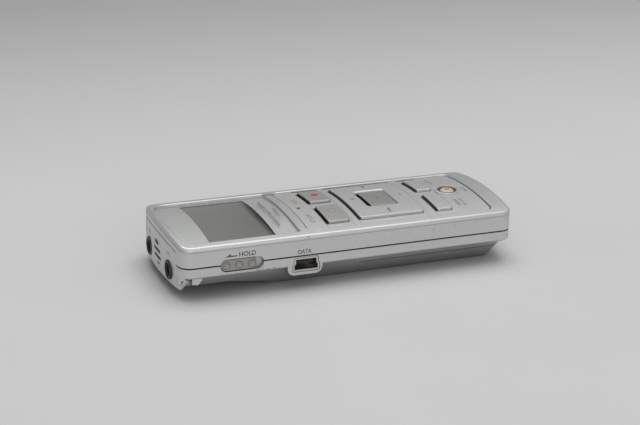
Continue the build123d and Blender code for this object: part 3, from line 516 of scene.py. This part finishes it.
def lay(name, flat, place, ink, body="case"):
    """Lays a flat on the recorder as a closed skin of ink that rides on a body."""
    points, faces = flat
    grid = bmesh.new()
    tops = [grid.verts.new(place(a, b, INK_PROUD) * MM) for a, b in points]
    made = [grid.faces.new([tops[i] for i in face]) for face in faces]
    bmesh.ops.triangulate(grid, faces=made)
    roof = list(grid.faces)
    bottom = bmesh.ops.extrude_face_region(grid, geom=roof)
    sink = (place(0, 0, -INK_DEPTH) - place(0, 0, INK_PROUD)) * MM
    under = [item for item in bottom["geom"] if isinstance(item, bmesh.types.BMVert)]
    bmesh.ops.translate(grid, verts=under, vec=sink)
    bmesh.ops.recalc_face_normals(grid, faces=grid.faces)
    mesh = bpy.data.meshes.new(name)
    grid.to_mesh(mesh)
    grid.free()
    mesh.materials.append(ink.mat)
    piece = bpy.data.objects.new(name, mesh)
    SCENE.collection.objects.link(piece)
    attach(piece, body)


# ---- prints and marks ----
def top_words():
    """Words on the lens and the keypad panel."""
    rows = [
        # piece, text, height, width, weight, middle along x and y, ink
        ("print_lens_title", "VOICE RECORDER", 0.8, 19.0, 0.005, -19.0, -1.4, FAINT_INK),
        ("print_lens_line", "STEREO", 0.7, 6.4, 0.005, -16.7, -1.6, FAINT_INK),
        ("print_rec", "REC", 1.5, 4.4, 0.01, -8.8, 5.2, PALE_RED_INK),
        ("print_stop", "STOP", 1.4, 5.6, 0.0, -8.9, -8.9, FAINT_INK),
        ("print_menu", "MENU", 0.95, 4.4, 0.0, 36.9, -9.2, DARK_INK),
        ("print_erase", "ERASE", 0.85, 4.6, 0.0, 38.6, -9.3, FAINT_INK),
        ("print_play", "PLAY", 1.0, 3.8, 0.0, 43.4, -0.3, DARK_INK),
        ("print_folder", "FOLDER", 0.8, 5.4, 0.0, 36.4, 9.4, FAINT_INK),
    ]
    for name, text, height, width, weight, x, y, ink in rows:
        lay(name, word(text, height, width, weight), on_top(x, y), ink)


def key_signs():
    """Signs on the record and stop keys, the four-way plate and the key in its middle."""
    keys_x, record_y, stop_y = -1.5, 7.8, -6.3
    record_dot = ring(1.12)
    stop_sign = ring(1.25, 0.95, squareness=0.55)
    lay("dot_record", record_dot, on_top(keys_x, record_y, KEY_LIFT), RED_INK, "record_key")
    lay("sign_stop", stop_sign, on_top(keys_x, stop_y, KEY_LIFT), PALE_INK, "stop_key")

    arm, half, half_minus = 0.75, 0.14, 0.15
    plus = joined(
        bar(-arm, arm, -half, half),
        bar(-half, half, half, arm),
        bar(-half, half, -arm, -half),
    )
    minus = bar(-arm, arm, -half_minus, half_minus)
    arrow = polygon((-0.5, -0.5), (0.5, 0.0), (-0.5, 0.5))
    stroke = bar(-0.1, 0.1, -0.5, 0.5)
    skip = joined(moved(arrow, -0.75), moved(arrow, 0.3), moved(stroke, 1.0))
    pause = joined(moved(arrow, -0.7), moved(stroke, 0.35), moved(stroke, 0.8))
    nav_signs = [
        # piece, flat, middle along x and y
        ("sign_plus", plus, 7.6, 0.2),
        ("sign_minus", minus, 22.6, 0.1),
        ("sign_next", skip, 15.1, 10.8),
        ("sign_previous", mirrored(skip), 14.8, -10.2),
    ]
    for name, flat, x, y in nav_signs:
        lay(name, flat, on_top(x, y, NAV_LIFT), DARK_INK, "nav_plate")
    lay("sign_centre", pause, on_top(15.2, 0.0, CENTRE_LIFT), FAINT_INK, "centre_key")


def side_prints():
    """Words and the arrow on the long side with the data socket."""
    lay("print_hold", word("HOLD", 1.4, 4.9, 0.02), on_side(-31.2, 12.45), DARK_INK)
    arrow = polygon((-2.1, -0.15), (-0.3, 0.75), (-0.3, 0.2), (1.5, 0.2), (1.5, -0.15))
    lay("sign_hold_arrow", arrow, on_side(-35.7, 12.1), DARK_INK)
    lay("print_data", word("DATA", 1.25, 4.0, 0.015), on_side(-14.4, 11.0), DARK_INK)


def scuffs():
    """Small worn marks on the long side."""
    marks = [
        # middle along x, height, length, thickness, rise
        (-13.4, 15.2, 0.55, 0.4, 0.2),
        (-28.1, 7.3, 1.5, 0.22, 0.35),
        (-26.7, 7.55, 0.9, 0.3, -0.25),
        (-25.2, 7.1, 1.1, 0.22, 0.3),
        (-23.5, 7.3, 0.7, 0.28, 0.15),
        (-33.4, 14.3, 0.4, 0.25, 0.1),
        (25.0, 12.9, 0.9, 0.15, 0.8),
        (31.7, 13.1, 0.6, 0.14, 0.5),
    ]
    for i, (x, z, length, thick, rise) in enumerate(marks):
        a, b = length / 2, thick / 2
        flat = polygon((-a, -rise / 2), (0.2 * a, -b), (a, rise / 2), (-0.1 * a, b))
        lay(f"scuff_{i + 1}", flat, on_side(x, z), SCUFF)


def end_prints():
    """Words above the jacks."""
    height, z = 1.1, 11.2
    lay("print_mic", word("MIC", height), on_end(-9.6, z), FAINT_INK)
    lay("print_ear", word("EAR", height), on_end(9.3, z), FAINT_INK)


def lamp_dot():
    """Orange lamp in the middle of the round key."""
    lamp = ring(0.85)
    lay("lamp_round_key", lamp, on_round_key(), ORANGE_LAMP, "round_key")


def knob_dimple_shade():
    """Painted shade: fine dark rings round the three dimples of the hold knob, where their edges
    fall into shade.
    """
    dimple_shade_ring = ring(1.12, 1.0)
    for i in range(3):
        place = on_knob((i - 1) * KNOB_STEP)
        lay(f"knob_ring_{i + 1}", dimple_shade_ring, place, DARK_INK, "hold_slider")


top_words()
key_signs()
side_prints()
scuffs()
end_prints()
lamp_dot()
knob_dimple_shade()


# ---- stage, light and camera ----
WHITE = (1.0, 1.0, 1.0)
ROOM_LIGHT = (0.33, 0.62)                      # from the horizon and from straight above
AREA_LIGHTS = [
    # name, place, width and height, watts
    ("softbox", (0.1, 0.2, 1.0), (0.8, 0.7), 4.7),
    ("fill", (-0.2, -1.0, 0.35), (1.2, 0.5), 3.0),
]
CAMERA_PLACE = (-0.16246, -0.39945, 0.17303)
CAMERA_ANGLES = (-21.84, 20.23, 1.37)          # turn, height and roll, in degrees
CAMERA_LENS = 88.93                            # millimetres, as is the sensor's width
SENSOR_WIDTH = 36.0


def paper():
    """Pale grey paper with painted shade: it darkens away from the camera as painted fall-off of
    light, and a painted contact shadow darkens it under the recorder.
    """
    near, far, cloudy = shade(WHITE, 0.645), shade(WHITE, 0.36), (0.52, 0.52, 0.515)
    near_y, far_y, cloud_size, shade_reach, darkest = 40.0, 420.0, 60.0, 12.0, 0.55
    p = Paint("paper", shade(WHITE, 0.6), 0.0, 0.9)
    base = p.mix(p.ramp(p.place(Y), near_y, far_y), near, far)
    clouds = p.ramp(p.noise(cloud_size), 0.0, 1.0, 0.0, 0.2)
    # painted contact shadow round the recorder
    p.set_color(p.crevice_shade(p.mix(clouds, base, cloudy), shade_reach, darkest))
    return p


def make_stage():
    """Pale floor that sweeps up into a backdrop."""
    bend_y, bend_r, depth, width, height = 0.75, 0.5, 1.4, 2.4, 1.3
    profile = [(-depth, 0.0), (bend_y, 0.0)]
    steps = 16
    for i in range(1, steps + 1):
        a = math.pi / 2 * i / steps
        profile.append((bend_y + bend_r * math.sin(a), bend_r * (1 - math.cos(a))))
    profile.append((bend_y + bend_r, height))
    verts = [(side * width, y, z) for y, z in profile for side in (-1, 1)]
    faces = [(2 * i, 2 * i + 1, 2 * i + 3, 2 * i + 2) for i in range(len(profile) - 1)]
    mesh = bpy.data.meshes.new("floor")
    mesh.from_pydata(verts, [], faces)
    mesh.polygons.foreach_set("use_smooth", [True] * len(faces))
    floor = bpy.data.objects.new("floor", mesh)
    SCENE.collection.objects.link(floor)
    mesh.materials.append(paper().mat)


def area_light(name, place, size, power):
    """Rectangular light that faces the recorder."""
    light = bpy.data.lights.new(name, "AREA")
    light.shape = "RECTANGLE"
    light.size, light.size_y = size
    light.energy = power
    lamp = bpy.data.objects.new(name, light)
    lamp.location = place
    lamp.rotation_euler = (-Vector(place)).to_track_quat("-Z", "Y").to_euler()
    SCENE.collection.objects.link(lamp)


def make_light():
    """Soft room light that is stronger from above, a softbox overhead and a fill in front."""
    world = bpy.data.worlds.new("studio")
    world.use_nodes = True
    tree = world.node_tree
    coords = tree.nodes.new("ShaderNodeTexCoord")
    split = tree.nodes.new("ShaderNodeSeparateXYZ")
    rise = tree.nodes.new("ShaderNodeMapRange")
    tree.links.new(coords.outputs["Generated"], split.inputs[0])
    tree.links.new(split.outputs[2], rise.inputs["Value"])
    for key, value in zip(("To Min", "To Max"), ROOM_LIGHT):
        rise.inputs[key].default_value = value
    background = tree.nodes["Background"]
    background.inputs["Color"].default_value = (*WHITE, 1)
    tree.links.new(rise.outputs["Result"], background.inputs["Strength"])
    SCENE.world = world
    for row in AREA_LIGHTS:
        area_light(*row)


def make_camera():
    """Camera at the reference view, with a long lens."""
    turn, height, roll = (math.radians(angle) for angle in CAMERA_ANGLES)
    back = Vector((
        math.sin(turn) * math.cos(height),
        -math.cos(turn) * math.cos(height),
        math.sin(height),
    ))
    right = Vector((math.cos(turn), math.sin(turn), 0.0))
    up = back.cross(right)
    right, up = (
        right * math.cos(roll) + up * math.sin(roll),
        up * math.cos(roll) - right * math.sin(roll),
    )
    data = bpy.data.cameras.new("camera")
    data.sensor_width = SENSOR_WIDTH
    data.lens = CAMERA_LENS
    data.clip_start = 0.01
    camera = bpy.data.objects.new("camera", data)
    facing = Matrix((right, up, back)).transposed().to_4x4()
    camera.matrix_world = Matrix.Translation(CAMERA_PLACE) @ facing
    SCENE.collection.objects.link(camera)
    SCENE.camera = camera


make_stage()
make_light()
make_camera()
SCENE.view_settings.view_transform = "Standard"
